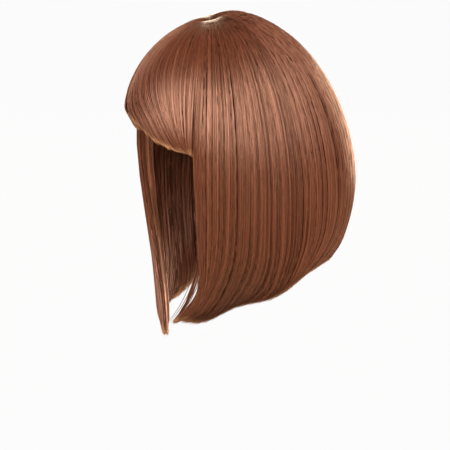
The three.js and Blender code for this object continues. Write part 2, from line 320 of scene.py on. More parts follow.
def along(table, column, turn):
    """A smooth curve through one column of a table."""
    at = np.array(table["turn"], float)
    value = np.array(table[column], float)
    slope = np.zeros_like(value)
    slope[1:-1] = (value[2:] - value[:-2]) / (at[2:] - at[:-2])
    i = np.clip(np.searchsorted(at, turn) - 1, 0, len(at) - 2)
    span = at[i + 1] - at[i]
    t = np.clip((turn - at[i]) / span, 0, 1)
    start = (1 + 2 * t) * (1 - t) ** 2 * value[i] + t * (1 - t) ** 2 * span * slope[i]
    end = t * t * (3 - 2 * t) * value[i + 1] + t * t * (t - 1) * span * slope[i + 1]
    return start + end


def smooth_step(value, low, high):
    """0 up to a low value and 1 from a high one on, with a smooth rise between them."""
    t = np.clip((value - low) / (high - low), 0, 1)
    return t * t * (3 - 2 * t)


def mix(start, end, share):
    return start + (end - start) * share


def wrap_turn(turn):
    """The same turn, between -180 and 180 degrees."""
    return np.mod(turn + HALF_TURN, FULL_TURN) - HALF_TURN


def bulge_drop(turn):
    return BULGE_DROP * along(BULGE, "drop", np.abs(turn))


def reach_for(fore):
    """How far the widest level reaches, in front where fore is below 0, and else behind."""
    return np.where(fore < 0, FRONT_REACH, BACK_REACH)


def bulge_outline(turn):
    """The outline of the widest level, seen from above."""
    angle = np.radians(turn)
    fore = -np.cos(angle)
    return np.stack([HALF_WIDTH * np.sin(angle), fore * reach_for(fore)], axis=-1)


def crown_height(x, y):
    """The height of the crown over a point in plan."""
    side = x / HALF_WIDTH
    fore = y / reach_for(y)
    turn = np.degrees(np.arctan2(side, -fore))
    out = np.minimum(np.hypot(side, fore), 1)
    fullness = mix(CROWN_FULLNESS, SIDE_FULLNESS, np.sin(np.radians(turn)) ** 2)
    sink = 1 - (1 - out**fullness) ** (1 / fullness)
    from_whorl = np.hypot(x, y + WHORL_FORWARD) / WHORL_DIP_RADIUS
    return HAIR_RISE - bulge_drop(turn) * sink - WHORL_DIP * np.exp(-(from_whorl**2))


def crown_point(turn, down):
    """The crown's surface, from the edge of the whorl to the widest level."""
    edge = bulge_outline(turn)
    run = np.hypot(edge[..., 0], edge[..., 1] + WHORL_FORWARD)
    out = np.sin(mix(np.arcsin(WHORL_RADIUS / run), np.pi / 2, down))
    x = out * edge[..., 0]
    y = mix(-WHORL_FORWARD, edge[..., 1], out)
    return np.stack([x, y, crown_height(x, y)], axis=-1)


def curtain_point(turn, down):
    """The surface below the widest level, of the sides and the back."""
    size = np.abs(turn)
    hand = np.sign(turn)

    def at(column):
        return np.where(turn < 0, along(RIGHT_FALL, column, size), along(LEFT_FALL, column, size))

    def place(side, fore):
        return np.stack([hand * side * HALF_WIDTH, fore * reach_for(fore)], axis=-1)

    start = bulge_outline(turn)
    tuck = place(at("tuck_side"), at("tuck_fore"))
    hem = place(at("side"), at("fore"))
    t = down[..., None]
    plan = start * (1 - t) ** 2 * (1 + 2 * t) + tuck * 3 * (1 - t) * t * t + hem * t**3
    drop = mix(bulge_drop(turn), at("drop") * HAIR_HEIGHT, down)
    return np.concatenate([plan, (HAIR_RISE - drop)[..., None]], axis=-1)


def fringe_point(turn, down):
    """The surface below the widest level, of the fringe."""
    edge = bulge_outline(turn)
    length = np.linalg.norm(edge, axis=-1)
    edge = edge * (1 - FRINGE_TUCK * down * down / length)[..., None]
    drop = bulge_drop(turn) + FRINGE_FALL * along(FRINGE, "fall", turn) * down
    return np.concatenate([edge, (HAIR_RISE - drop)[..., None]], axis=-1)


def head_scale(offset, grow):
    """How far an offset from the head's centre is scaled to end on the head grown by a margin."""
    front_or_back = np.where(offset[..., 1] < 0, HEAD_FRONT, HEAD_BACK)
    side = offset[..., 0] / (HEAD_HALF_BREADTH + grow)
    fore = offset[..., 1] / (front_or_back + grow)
    up = offset[..., 2] / (HEAD_DEPTH + grow)
    return 1 / np.sqrt(side**2 + fore**2 + up**2)


def rim_angle(turn):
    """The angle from straight up, at the head's centre, of the cap's rim."""
    return np.arccos(1 - along(RIM, "drop", np.abs(turn)))


def inner_point(point, thickness):
    """The hair's inner face behind a point of its outer face: on the cap, and past the rim one wall in."""
    from_whorl = np.hypot(point[..., 0], point[..., 1] + WHORL_FORWARD)
    slope_start = PATCH_RADIUS + PATCH_MARGIN
    over_patch = 1 - smooth_step(from_whorl, slope_start, slope_start + PATCH_SLOPE)
    grow = CAP_WALL + 2 * SEAT_GAP + over_patch * (PATCH_THICKNESS + SEAT_GAP)
    offset = point + np.array([0, 0, HEAD_DEPTH])
    on_cap = offset * head_scale(offset, grow)[..., None]
    turn = np.degrees(np.arctan2(offset[..., 0], -offset[..., 1]))
    from_top = np.arccos(np.clip(on_cap[..., 2] / (HEAD_DEPTH + grow), -1, 1))
    past_rim = smooth_step(from_top - rim_angle(turn), 0, RIM_BLEND)[..., None]
    inwards = -offset * np.array([1, 1, 0])
    inwards /= np.linalg.norm(inwards, axis=-1, keepdims=True)
    one_wall_in = point + inwards * thickness[..., None]
    return mix(on_cap - np.array([0, 0, HEAD_DEPTH]), one_wall_in, past_rim)


# The sections of hair, and their edges


def rounding(share):
    """How far both faces come together, for a round edge, at a share of the way in from it."""
    return EDGE_PULL * (1 - np.sqrt(1 - (1 - share) ** 2))


class Section:
    """A section of hair between two turns. Spread is how far its strands run over each seam, in degrees."""

    def __init__(self, node, start, end, crown_share, fall, thickness, hem_thickness,
                 free_edge, slip, spread, seed):
        self.node = node
        self.start = start
        self.end = end
        self.crown_share = crown_share
        self.fall = fall
        self.thickness = thickness
        self.hem_thickness = hem_thickness
        self.free_edge = free_edge
        self.slip = slip
        self.spread = spread
        self.seed = seed

    def swept(self, turn, way):
        """Where a lock that starts at a turn has come to on its way down."""
        if self.fall is not fringe_point:
            return turn + self.slipped(turn, way)
        side = np.where(turn < FRINGE_PARTING_TURN, self.start, self.end)
        from_parting = np.clip((turn - FRINGE_PARTING_TURN) / (side - FRINGE_PARTING_TURN), 0, 1)
        fanned = from_parting ** (1 / (1 + FRINGE_FAN * way**4))
        return mix(FRINGE_PARTING_TURN, side, fanned)

    def slipped(self, turn, way):
        """How far the strands at the free edge have slipped back near the tip."""
        if not self.slip:
            return 0
        from_edge = np.clip(np.abs(turn - self.free_edge) / SLIP_TURNS, 0, 1)
        slipped = smooth_step(way, SLIP_START, SLIP_MIDDLE) - SLIP_RETURN * smooth_step(way, SLIP_MIDDLE, 1)
        return self.slip * (1 - from_edge) * slipped

    def faces(self, turn, way):
        """The points of the outer and the inner face, which meet at a rounded free edge."""
        swept = wrap_turn(self.swept(turn, way))
        on_crown = crown_point(swept, np.clip(way / self.crown_share, 0, 1))
        down = np.maximum(way - self.crown_share, 0) / (1 - self.crown_share)
        on_fall = self.fall(swept, down)
        outer = np.where((way <= self.crown_share)[..., None], on_crown, on_fall)
        inner = inner_point(outer, mix(self.thickness, self.hem_thickness, np.clip(down, 0, 1)))
        sink = CROWN_SINK * (1 - smooth_step(way / self.crown_share, *SINK_FALL))
        sink = sink * smooth_step(way, *SINK_RISE)
        outer = outer + unit(inner - outer) * sink[..., None]
        pull = HEM_ROUND_SHARE * rounding(np.clip((1 - way) / HEM_ROUND_WAY, 0, 1))[..., None]
        if self.free_edge is None:
            return mix(outer, inner, pull), mix(inner, outer, pull)
        from_edge = np.clip(np.abs(turn - self.free_edge) / EDGE_ROUND_TURNS, 0, 1)
        at_edge = rounding(from_edge) * smooth_step(way, EDGE_ROUND_START, self.crown_share)
        pull = np.maximum(pull, at_edge[..., None])
        return mix(outer, inner, pull), mix(inner, outer, pull)


# A section's crown share is the part of the way at which it comes to the widest level
CURTAIN_CROWN_SHARE = 0.62
FRINGE_CROWN_SHARE = 0.86
LEFT_SLIP = 8.0
SECTIONS = [
    Section("fringe", -RIGHT_EDGE_TURN, LEFT_EDGE_TURN, FRINGE_CROWN_SHARE, fringe_point,
            FRINGE_THICKNESS, FRINGE_HEM_THICKNESS, None, 0.0, (0, 0), 11),
    Section("left_side_hair", LEFT_EDGE_TURN, BACK_EDGE_TURN, CURTAIN_CROWN_SHARE, curtain_point,
            CURTAIN_THICKNESS, HEM_THICKNESS, LEFT_EDGE_TURN, LEFT_SLIP, (0, SEAM_SPREAD), 22),
    Section("right_side_hair", -BACK_EDGE_TURN, -RIGHT_EDGE_TURN, CURTAIN_CROWN_SHARE, curtain_point,
            CURTAIN_THICKNESS, HEM_THICKNESS, -RIGHT_EDGE_TURN, 0.0, (SEAM_SPREAD, 0), 33),
    Section("back_hair", BACK_EDGE_TURN, FULL_TURN - BACK_EDGE_TURN, CURTAIN_CROWN_SHARE, curtain_point,
            CURTAIN_THICKNESS, HEM_THICKNESS, None, 0.0, (SEAM_SPREAD, SEAM_SPREAD), 44),
]


def deselect_all():
    for item in bpy.context.view_layer.objects.selected:
        item.select_set(False)


def closed_slab(name, columns, rows):
    """A flat closed slab, 2 by 2, whose top is to be the outer face. Returns its object."""
    deselect_all()
    bpy.ops.mesh.primitive_grid_add(x_subdivisions=columns, y_subdivisions=rows, size=2, location=(0, 0, 0))
    slab = bpy.context.active_object
    slab.name = name
    slab.data.name = name
    bpy.ops.object.mode_set(mode="EDIT")
    bpy.ops.mesh.select_all(action="SELECT")
    bpy.ops.mesh.extrude_region_move(TRANSFORM_OT_translate={"value": (0, 0, -1)})
    bpy.ops.object.mode_set(mode="OBJECT")
    return slab


def mesh_points(item):
    points = np.zeros(len(item.data.vertices) * 3, np.float32)
    item.data.vertices.foreach_get("co", points)
    return points.reshape(-1, 3).astype(float)


def set_points(item, points):
    item.data.vertices.foreach_set("co", points.astype(np.float32).ravel())
    item.data.update()


def point_outwards(item):
    deselect_all()
    item.select_set(True)
    bpy.context.view_layer.objects.active = item
    bpy.ops.object.mode_set(mode="EDIT")
    bpy.ops.mesh.select_all(action="SELECT")
    bpy.ops.mesh.normals_make_consistent(inside=False)
    bpy.ops.object.mode_set(mode="OBJECT")
    bpy.ops.object.shade_smooth_by_angle(angle=EDGE_ANGLE)


def unit(vectors):
    return vectors / np.linalg.norm(vectors, axis=-1, keepdims=True)


def lock_edges(start, end, lock_turns, random):
    """The turns at which one lock ends and the next begins."""
    widths = random.uniform(0.5, 1.5, max(3, round((end - start) / lock_turns)))
    return start + (end - start) * np.concatenate([[0], np.cumsum(widths)]) / widths.sum()


def hair_bed(section):
    """The solid bed of a section, with its locks in relief."""
    span = section.end - section.start
    bed = closed_slab(section.node + "_bed", round(span / BED_COLUMN_TURNS), BED_ROWS)
    flat = mesh_points(bed)
    turn = section.start + span * (flat[:, 0] + 1) / 2
    way = (1 - flat[:, 1]) / 2 * (1 - BED_SHORT)
    outer, inner = section.faces(turn, way)
    edges = lock_edges(section.start, section.end, BED_LOCK_TURNS, np.random.default_rng(section.seed))
    lock = np.clip(np.searchsorted(edges, turn) - 1, 0, len(edges) - 2)
    across = (turn - edges[lock]) / (edges[lock + 1] - edges[lock])
    groove = np.sqrt(np.clip(4 * across * (1 - across), 0, 1)) - 1
    relief = BED_RELIEF * groove * smooth_step(way, BED_RELIEF_START, BED_RELIEF_END)
    outer = outer + unit(outer - inner) * relief[:, None]
    set_points(bed, np.where((flat[:, 2] > -0.5)[:, None], outer, inner))
    point_outwards(bed)
    return bed


def strand_mesh(name, centres, across, outwards, widths, tones, ways):
    """A mesh of closed, tapered strands with three sides each. Each array's first axis is the strand."""
    strands, rings = widths.shape
    half = across * widths[..., None] / 2
    ridge = outwards * widths[..., None] * STRAND_RIDGE
    corners = np.stack([centres - half, centres + half, centres + ridge], axis=2)
    at = np.arange(strands * rings * 3).reshape(strands, rings, 3)
    start = at[:, :-1, :]
    after = at[:, 1:, :]
    quads = np.stack([start, np.roll(start, -1, axis=2), np.roll(after, -1, axis=2), after], axis=-1)
    caps = np.concatenate([at[:, 0, ::-1], at[:, -1, :]])
    loops = np.concatenate([quads.ravel(), caps.ravel()]).astype(np.int32)
    sizes = np.concatenate([np.full(quads.size // 4, 4), np.full(len(caps), 3)]).astype(np.int32)
    mesh = bpy.data.meshes.new(name)
    mesh.vertices.add(corners.size // 3)
    mesh.vertices.foreach_set("co", corners.astype(np.float32).ravel())
    mesh.loops.add(len(loops))
    mesh.loops.foreach_set("vertex_index", loops)
    mesh.polygons.add(len(sizes))
    mesh.polygons.foreach_set("loop_start", np.concatenate([[0], np.cumsum(sizes)[:-1]]).astype(np.int32))
    mesh.polygons.foreach_set("use_smooth", np.ones(len(sizes), bool))
    mesh.update(calc_edges=True)
    lengths = np.linalg.norm(np.diff(centres, axis=1), axis=-1)
    to_tip = np.concatenate([np.cumsum(lengths[:, ::-1], axis=1)[:, ::-1], np.zeros((strands, 1))], axis=1)
    facts = {"tone": np.repeat(tones, rings), "way": ways.ravel(), "to_tip": to_tip.ravel()}
    for label, values in facts.items():
        attribute = mesh.attributes.new(label, "FLOAT", "POINT")
        attribute.data.foreach_set("value", np.repeat(values, 3).astype(np.float32))
    strand_cells(mesh, strands, rings, loops)
    item = bpy.data.objects.new(name, mesh)
    bpy.context.scene.collection.objects.link(item)
    return item


def strand_cells(mesh, strands, rings, loops):
    """A UV map in which each strand lies in a small cell of its own."""
    cells = int(np.ceil(np.sqrt(strands)))
    strand = loops // (rings * 3)
    ring = loops // 3 % rings
    side = (loops % 3).astype(float)
    quad_loops = np.arange(strands * (rings - 1) * 3 * 4)
    last_side = quad_loops // 4 % 3 == 2
    far_corner = (quad_loops % 4 == 1) | (quad_loops % 4 == 2)
    side[quad_loops[last_side & far_corner]] = 3
    inside = CELL_MARGIN + (1 - 2 * CELL_MARGIN) * np.stack([side / 3, ring / (rings - 1)], axis=-1)
    cell = np.stack([strand % cells, strand // cells], axis=-1)
    layer = mesh.uv_layers.new(name="OFBake")
    layer.data.foreach_set("uv", ((cell + inside) / cells).astype(np.float32).ravel())


def ring_shares(layer, ring_factor, count, random):
    """The shares of each strand at which it has a ring. They are closest where it bends most."""
    by_root, between, by_hem = layer["rings"]
    by_hem = round(by_hem * ring_factor)
    shares = np.concatenate([
        ROOT_RINGS_END * np.linspace(0, 1, by_root, endpoint=False) ** 1.5,
        np.linspace(ROOT_RINGS_END if by_root > 1 else 1 / (between + by_hem), HEM_RINGS_START, between),
        np.linspace(HEM_RINGS_START, 1, by_hem + 1)[1:],
    ])
    room = np.gradient(shares)
    room[[0, -1]] = 0
    return shares + random.uniform(-RING_SHIFT, RING_SHIFT, (count, 1)) * room


def sweep(section, at, way):
    """The turns and ways of strands, changed to run along the hem at their lower end."""
    is_fringe = section.fall is fringe_point
    start = FRINGE_SWEEP_START if is_fringe else SWEEP_START
    down = np.maximum(way - start, 0) / (1 - start)
    slowed = np.where(down < 1, down + down**2 - down**3, 1 + LONG_TIP_SLOWING * (down - 1))
    reach = FRINGE_REACH if is_fringe else along(REACH, "reach", wrap_turn(at))
    way = np.where(down > 0, start + (1 + reach - start) * slowed, way)
    if is_fringe:
        to_side = np.where(at < FRINGE_PARTING_TURN, at - section.start, section.end - at)
        from_parting = at - FRINGE_PARTING_TURN
        amount = smooth_step(to_side, 0, FRINGE_SWEEP_ROOM)
        amount = amount * smooth_step(np.abs(from_parting), 0, FRINGE_SWEEP_ROOM)
        return at + np.sign(from_parting) * FRINGE_SWEEP_TURNS * amount * down**2, way
    turn = wrap_turn(at)
    size = np.abs(turn)
    amount = smooth_step(size, LEFT_EDGE_TURN, LEFT_EDGE_TURN + SWEEP_SIDE_ROOM)
    amount = amount * smooth_step(HALF_TURN - size, 0, SWEEP_BACK_ROOM)
    return at - np.sign(turn) * SWEEP_TURNS * amount * np.minimum(down, 1) ** 2, way


def strand_layer(section, layer):
    """A layer of strands in locks over, in or under the bed of a section."""
    random = np.random.default_rng(section.seed * 100 + layer["seed"])
    at_edge = layer is EDGE_STRANDS
    first = section.start - section.spread[0]
    last = section.end + section.spread[1]
    if at_edge:
        first = max(first, section.free_edge - EDGE_STRAND_TURNS)
        last = min(last, section.free_edge + EDGE_STRAND_TURNS)
    count = round((last - first) * layer["per_turn"])
    turn = first + (last - first) * (np.arange(count) + random.uniform(0, 1, count)) / count
    if at_edge:
        from_edge = turn - section.free_edge
        turn = section.free_edge + from_edge * np.abs(from_edge) / EDGE_STRAND_TURNS
    edges = lock_edges(first, last, layer["lock"], random)
    lock = np.clip(np.searchsorted(edges, turn) - 1, 0, len(edges) - 2)
    centre = (edges[lock] + edges[lock + 1]) / 2
    across = (turn - centre) / (edges[lock + 1] - edges[lock]) * 2

    ring_factor = FRINGE_RING_FACTOR if section.fall is fringe_point else 1
    steps = ring_shares(layer, ring_factor, count, random)
    from_whorl = random.uniform(0, 1, count) < layer["whorl_share"]
    at_whorl = random.uniform(0, WHORL_ROOT, count)
    root = np.where(from_whorl, at_whorl, random.uniform(*layer["root"], count))
    tip = 1 + TIP_ROUND * (TIP_ROUND_MEAN - across**2) + random.normal(0, TIP_SCATTER, count)
    tip += np.where(random.uniform(0, 1, count) < LONG_TIP_SHARE, LONG_TIP, 0)
    if section.fall is fringe_point:
        tip += np.abs(random.normal(0, FRINGE_LOCK_SCATTER, len(edges)))[lock]
        tip += np.abs(random.normal(0, FRINGE_TIP_SCATTER, count))
    way = root[:, None] + (tip - root)[:, None] * steps
    phase = random.uniform(0, 2 * np.pi, (count, 2))
    wander = WIDE_WANDER * np.sin(phase[:, :1] + WIDE_WAVES * way)
    wander = wander + FINE_WANDER * np.sin(phase[:, 1:] + FINE_WAVES * way)
    squeeze = LOCK_SQUEEZE * smooth_step(way, SQUEEZE_START, SQUEEZE_END)
    at = centre[:, None] + (turn - centre)[:, None] * (1 - squeeze)
    at = at + wander * smooth_step(way, WANDER_START, WANDER_END)
    at = np.clip(at, first + SIDE_ROOM, last - SIDE_ROOM)
    at, way = sweep(section, at, way)
    if at_edge:
        is_wisp = random.uniform(0, 1, (count, 1)) < WISP_SHARE
        stray = random.uniform(*WISP_STRAY, (count, 1))
        at = np.where(is_wisp, at - stray * section.slipped(at, way), at)

    depth = random.uniform(*layer["depth"], count)[:, None, None]
    if at_edge:
        depth = np.round(depth)
    outer, inner = section.faces(at, way)
    outer_after, inner_after = section.faces(at + FACE_STEP, way)
    point = mix(outer, inner, depth)
    down = np.gradient(point, axis=1)
    outwards = unit(np.cross(down, mix(outer_after, inner_after, depth) - point))
    aside = unit(np.cross(outwards, down))

    hand = 1 - 2 * depth[..., 0] if at_edge else layer["hand"]
    rooted = np.where(from_whorl[:, None], 1, smooth_step(steps, 0, ROOT_RISE))
    grown = mix(ROOT_LIFT, 1, smooth_step(way, 0.0, LIFT_END))
    lift = layer["lift"] * random.uniform(*LIFT_RANGE, count) + layer["round"] * (1 - across**2)
    lift = lift[:, None] * grown * rooted - ROOT_SINK * (1 - rooted)
    outwards = outwards * np.broadcast_to(hand, lift.shape)[..., None]
    centres = point + outwards * lift[..., None]
    out = np.hypot(point[..., 0], point[..., 1] + WHORL_FORWARD)
    plunge = 1 - smooth_step(out, WHORL_RADIUS, WHORL_RADIUS + PLUNGE_RUN)
    plunge = np.where(from_whorl[:, None], plunge, 0)[..., None]
    centres = mix(centres, np.array([0, -WHORL_FORWARD, PLUNGE_LEVEL]), plunge * PLUNGE)
    narrow = mix(WHORL_WIDTH, 1, smooth_step(out, WHORL_NARROW_OUT, WHORL_WIDE_OUT))
    by_root = mix(ROOT_WIDTH, 1, smooth_step(steps, 0, ROOT_RISE))
    by_tip = mix(TIP_WIDTH, 1, smooth_step(1 - steps, 0, TIP_TAPER))
    taper = np.minimum(by_root, by_tip)
    widths = layer["width"] * random.uniform(*WIDTH_RANGE, count)[:, None] * taper * narrow
    lock_tone = random.normal(0, LOCK_TONE, len(edges))[lock]
    tones = layer["tone"] + lock_tone + random.normal(0, STRAND_TONE, count)
    # Painted shade: strands darker towards the edges of their lock, as if in the grooves between locks
    tones = tones - GROOVE_PAINTED_SHADE * np.abs(across) ** GROOVE_SHADE_POWER
    name = f"{section.node}_{layer['name']}"
    return strand_mesh(name, centres, aside, outwards, widths, np.clip(tones, 0, 1), way)


# The cap and its bare patch


def dome(name, segments, rings):
    """The upper half of a ball, with the radius 1. Returns its object, each point's turn, and its share of
    the way from the top to the edge."""
    deselect_all()
    bpy.ops.mesh.primitive_uv_sphere_add(segments=segments, ring_count=2 * rings, location=(0, 0, 0))
    item = bpy.context.active_object
    item.name = name
    item.data.name = name
    bpy.ops.object.mode_set(mode="EDIT")
    bpy.ops.mesh.select_all(action="SELECT")
    bpy.ops.mesh.bisect(plane_co=(0, 0, 0), plane_no=(0, 0, 1), clear_inner=True)
    bpy.ops.object.mode_set(mode="OBJECT")
    points = mesh_points(item)
    turn = np.degrees(np.arctan2(points[:, 0], -points[:, 1]))
    share = np.arccos(np.clip(points[:, 2], -1, 1)) / (np.pi / 2)
    return item, turn, share


def thicken(item, thickness):
    """Gives a surface a wall on its inside and a smooth finish with crisp edges."""
    wall = item.modifiers.new("wall", "SOLIDIFY")
    wall.thickness = thickness
    wall.offset = -1
    wall.use_even_offset = True
    deselect_all()
    item.select_set(True)
    bpy.context.view_layer.objects.active = item
    bpy.ops.object.shade_smooth_by_angle(angle=EDGE_ANGLE)


def add_cap():
    """The dome of stretch net that the hair is sewn to."""
    cap, turn, share = dome("cap_net", CAP_SEGMENTS, CAP_RINGS)
    angle = np.radians(turn)
    from_top = rim_angle(turn) * share
    flat = np.sin(from_top)
    offset = np.stack([np.sin(angle) * flat, -np.cos(angle) * flat, np.cos(from_top)], axis=-1)
    front_or_back = np.where(offset[:, 1] < 0, HEAD_FRONT, HEAD_BACK)
    sideways = np.full_like(turn, HEAD_HALF_BREADTH)
    radii = np.stack([sideways, front_or_back, np.full_like(turn, HEAD_DEPTH)], axis=-1)
    set_points(cap, offset * (radii + CAP_WALL) - np.array([0, 0, HEAD_DEPTH]))
    thicken(cap, CAP_WALL)
    cap.data.materials.append(net_material())
    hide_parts("cap")
    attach(cap, "root")


def add_patch():
    """The bare patch at the whorl, which lies on the cap."""
    patch, turn, share = dome("crown_patch_skin", PATCH_SEGMENTS, PATCH_RINGS)
    angle = np.radians(turn)
    x = share * PATCH_RADIUS * np.sin(angle)
    y = -WHORL_FORWARD - share * PATCH_RADIUS * np.cos(angle)
    grow = CAP_WALL + SEAT_GAP + PATCH_THICKNESS
    side = x / (HEAD_HALF_BREADTH + grow)
    fore = y / (np.where(y < 0, HEAD_FRONT, HEAD_BACK) + grow)
    z = (HEAD_DEPTH + grow) * np.sqrt(1 - side**2 - fore**2) - HEAD_DEPTH
    set_points(patch, np.stack([x, y, z], axis=-1))
    thicken(patch, PATCH_THICKNESS)
    patch.data.materials.append(patch_material())
    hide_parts("crown_patch")
    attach(patch, "root")


# Materials


def srgb(red, green, blue):
    """A colour as it shows on a screen, 0 to 255, as the linear colour that a shader takes."""
    share = np.array([red, green, blue]) / 255
    linear = np.where(share <= 0.04045, share / 12.92, ((share + 0.055) / 1.055) ** 2.4)
    return (*linear.tolist(), 1.0)


def new_material(name):
    material = bpy.data.materials.new(name)
    material.use_nodes = True
    return material, material.node_tree.nodes, material.node_tree.links


def give(shader, finish):
    """Sets the own sockets of a shader, or of a texture, to the values of a finish."""
    for socket, value in finish.items():
        shader.inputs[socket].default_value = value


def two_tones(nodes, low, dark, high, light):
    """A ramp from a dark colour at a low value to a light colour at a high one."""
    ramp = nodes.new("ShaderNodeValToRGB")
    for element, position, colour in zip(ramp.color_ramp.elements, (low, high), (dark, light)):
        element.position = position
        element.color = colour
    return ramp


def add_relief(nodes, links, height, depth, shader):
    """A bump of a depth in metres, from an output that varies over the surface."""
    bump = nodes.new("ShaderNodeBump")
    bump.inputs["Distance"].default_value = depth
    links.new(height, bump.inputs["Height"])
    links.new(bump.outputs["Normal"], shader.inputs["Normal"])


def point_value(nodes, name):
    """The value that each point of the strands keeps under a name."""
    attribute = nodes.new("ShaderNodeAttribute")
    attribute.attribute_name = name
    return attribute.outputs["Fac"]


def fading(nodes, links, value, whole, end):
    """A number that is whole where a value is 0, and fades to 0 where the value comes to an end."""
    fade = nodes.new("ShaderNodeMapRange")
    fade.inputs["From Max"].default_value = end
    fade.inputs["To Min"].default_value = whole
    fade.inputs["To Max"].default_value = 0.0
    links.new(value, fade.inputs["Value"])
    return fade.outputs["Result"]


# The colours and finishes
DARK_STRAND = srgb(34, 15, 9)
LIGHT_STRAND = srgb(92, 45, 27)
# Painted light: the golden colour by the tips stands in for the light that the hem and thin ends catch from
# below and behind
TIP_PAINTED_LIGHT = srgb(190, 136, 94)
STRAND_FINISH = {
    "Roughness": 0.32,
    "IOR": 1.7,
    "Specular Tint": (1.0, 0.55, 0.37, 1.0),
    "Sheen Weight": 0.06,
    "Sheen Roughness": 0.35,
    "Sheen Tint": srgb(240, 180, 118),
}
# The bed is painted darker than the strands, as shade in the gaps between them
DARK_SHADED_BED = srgb(30, 14, 9)
LIGHT_SHADED_BED = srgb(72, 38, 24)
BED_FINISH = {"Roughness": 0.6, "Specular IOR Level": 0.15, "Specular Tint": (1.0, 0.5, 0.31, 1.0)}
BED_STREAKS = (110, 1.5, 1)  # across, along and through the hair
BED_NOISE = 3
BED_BUMP = 0.001
DARK_NET = srgb(18, 13, 11)
LIGHT_NET = srgb(62, 47, 40)
NET_FINISH = {"Roughness": 0.85}
NET_CELLS = 800  # in a metre
NET_UNEVENNESS = 0.25
NET_BUMP = 0.0004
DARK_SKIN_TONE = srgb(206, 176, 152)
LIGHT_SKIN_TONE = srgb(240, 222, 205)
PATCH_FINISH = {"Roughness": 0.7}
PATCH_PORES = 900  # in a metre
PATCH_DETAIL = 3
PATCH_BUMP = 0.0003

# The places of the colour sockets of a Mix node
MIX_FIRST = 6
MIX_SECOND = 7
MIX_RESULT = 2


def strand_material():
    """Glossy hair, coloured by the tone of each strand, which holds painted shade at the edges of locks,
    darker by the root, and with painted light, a golden colour, at the tip.
    """
    material, nodes, links = new_material("glossy chestnut strands")
    shader = nodes["Principled BSDF"]
    tone = nodes.new("ShaderNodeMath")
    tone.operation = "ADD"
    links.new(point_value(nodes, "tone"), tone.inputs[0])
    links.new(fading(nodes, links, point_value(nodes, "way"), ROOT_TONE, ROOT_TONE_END), tone.inputs[1])
    body = two_tones(nodes, 0, DARK_STRAND, 1, LIGHT_STRAND)
    links.new(tone.outputs["Value"], body.inputs["Fac"])
    # Painted light: a golden colour mixed in by the tip
    tip_lit = nodes.new("ShaderNodeMix")
    tip_lit.data_type = "RGBA"
    tip_lit.inputs[MIX_SECOND].default_value = TIP_PAINTED_LIGHT
    tip_light_share = fading(nodes, links, point_value(nodes, "to_tip"), TIP_LIGHT_SHARE, TIP_LIGHT_LENGTH)
    links.new(tip_light_share, tip_lit.inputs["Factor"])
    links.new(body.outputs["Color"], tip_lit.inputs[MIX_FIRST])
    links.new(tip_lit.outputs[MIX_RESULT], shader.inputs["Base Color"])
    gloss = nodes.new("ShaderNodeMapRange")
    links.new(tone.outputs["Value"], gloss.inputs["Value"])
    links.new(gloss.outputs["Result"], shader.inputs["Specular IOR Level"])
    give(shader, STRAND_FINISH)
    return material


def bed_material():
    """Dull hair between and under the strands, streaked along the way; its colour is partly painted shade,
    darker than the strands so that the gaps between them look shaded.
    """
    material, nodes, links = new_material("chestnut hair bed")
    shader = nodes["Principled BSDF"]
    place = nodes.new("ShaderNodeTexCoord")
    stretch = nodes.new("ShaderNodeMapping")
    stretch.inputs["Scale"].default_value = BED_STREAKS
    noise = nodes.new("ShaderNodeTexNoise")
    noise.inputs["Scale"].default_value = BED_NOISE
    ramp = two_tones(nodes, 0.3, DARK_SHADED_BED, 0.7, LIGHT_SHADED_BED)
    links.new(place.outputs["UV"], stretch.inputs["Vector"])
    links.new(stretch.outputs["Vector"], noise.inputs["Vector"])
    links.new(noise.outputs["Fac"], ramp.inputs["Fac"])
    links.new(ramp.outputs["Color"], shader.inputs["Base Color"])
    add_relief(nodes, links, noise.outputs["Fac"], BED_BUMP, shader)
    give(shader, BED_FINISH)
    return material


def net_material():
    """Dark stretch net, with a mesh of about a millimetre."""
    material, nodes, links = new_material("stretch net")
    shader = nodes["Principled BSDF"]
    place = nodes.new("ShaderNodeTexCoord")
    mesh_cells = nodes.new("ShaderNodeTexVoronoi")
    give(mesh_cells, {"Scale": NET_CELLS, "Randomness": NET_UNEVENNESS})
    ramp = two_tones(nodes, 0.2, DARK_NET, 0.6, LIGHT_NET)
    links.new(place.outputs["Object"], mesh_cells.inputs["Vector"])
    links.new(mesh_cells.outputs["Distance"], ramp.inputs["Fac"])
    links.new(ramp.outputs["Color"], shader.inputs["Base Color"])
    add_relief(nodes, links, mesh_cells.outputs["Distance"], NET_BUMP, shader)
    give(shader, NET_FINISH)
    return material


def patch_material():
    """Pale cloth in a skin tone, with fine pores."""
    material, nodes, links = new_material("skin tone cloth")
    shader = nodes["Principled BSDF"]
    place = nodes.new("ShaderNodeTexCoord")
    noise = nodes.new("ShaderNodeTexNoise")
    give(noise, {"Scale": PATCH_PORES, "Detail": PATCH_DETAIL})
    ramp = two_tones(nodes, 0.35, DARK_SKIN_TONE, 0.65, LIGHT_SKIN_TONE)
    links.new(place.outputs["Object"], noise.inputs["Vector"])
    links.new(noise.outputs["Fac"], ramp.inputs["Fac"])
    links.new(ramp.outputs["Color"], shader.inputs["Base Color"])
    add_relief(nodes, links, noise.outputs["Fac"], PATCH_BUMP, shader)
    give(shader, PATCH_FINISH)
    return material


# The floor, the surroundings and the lights

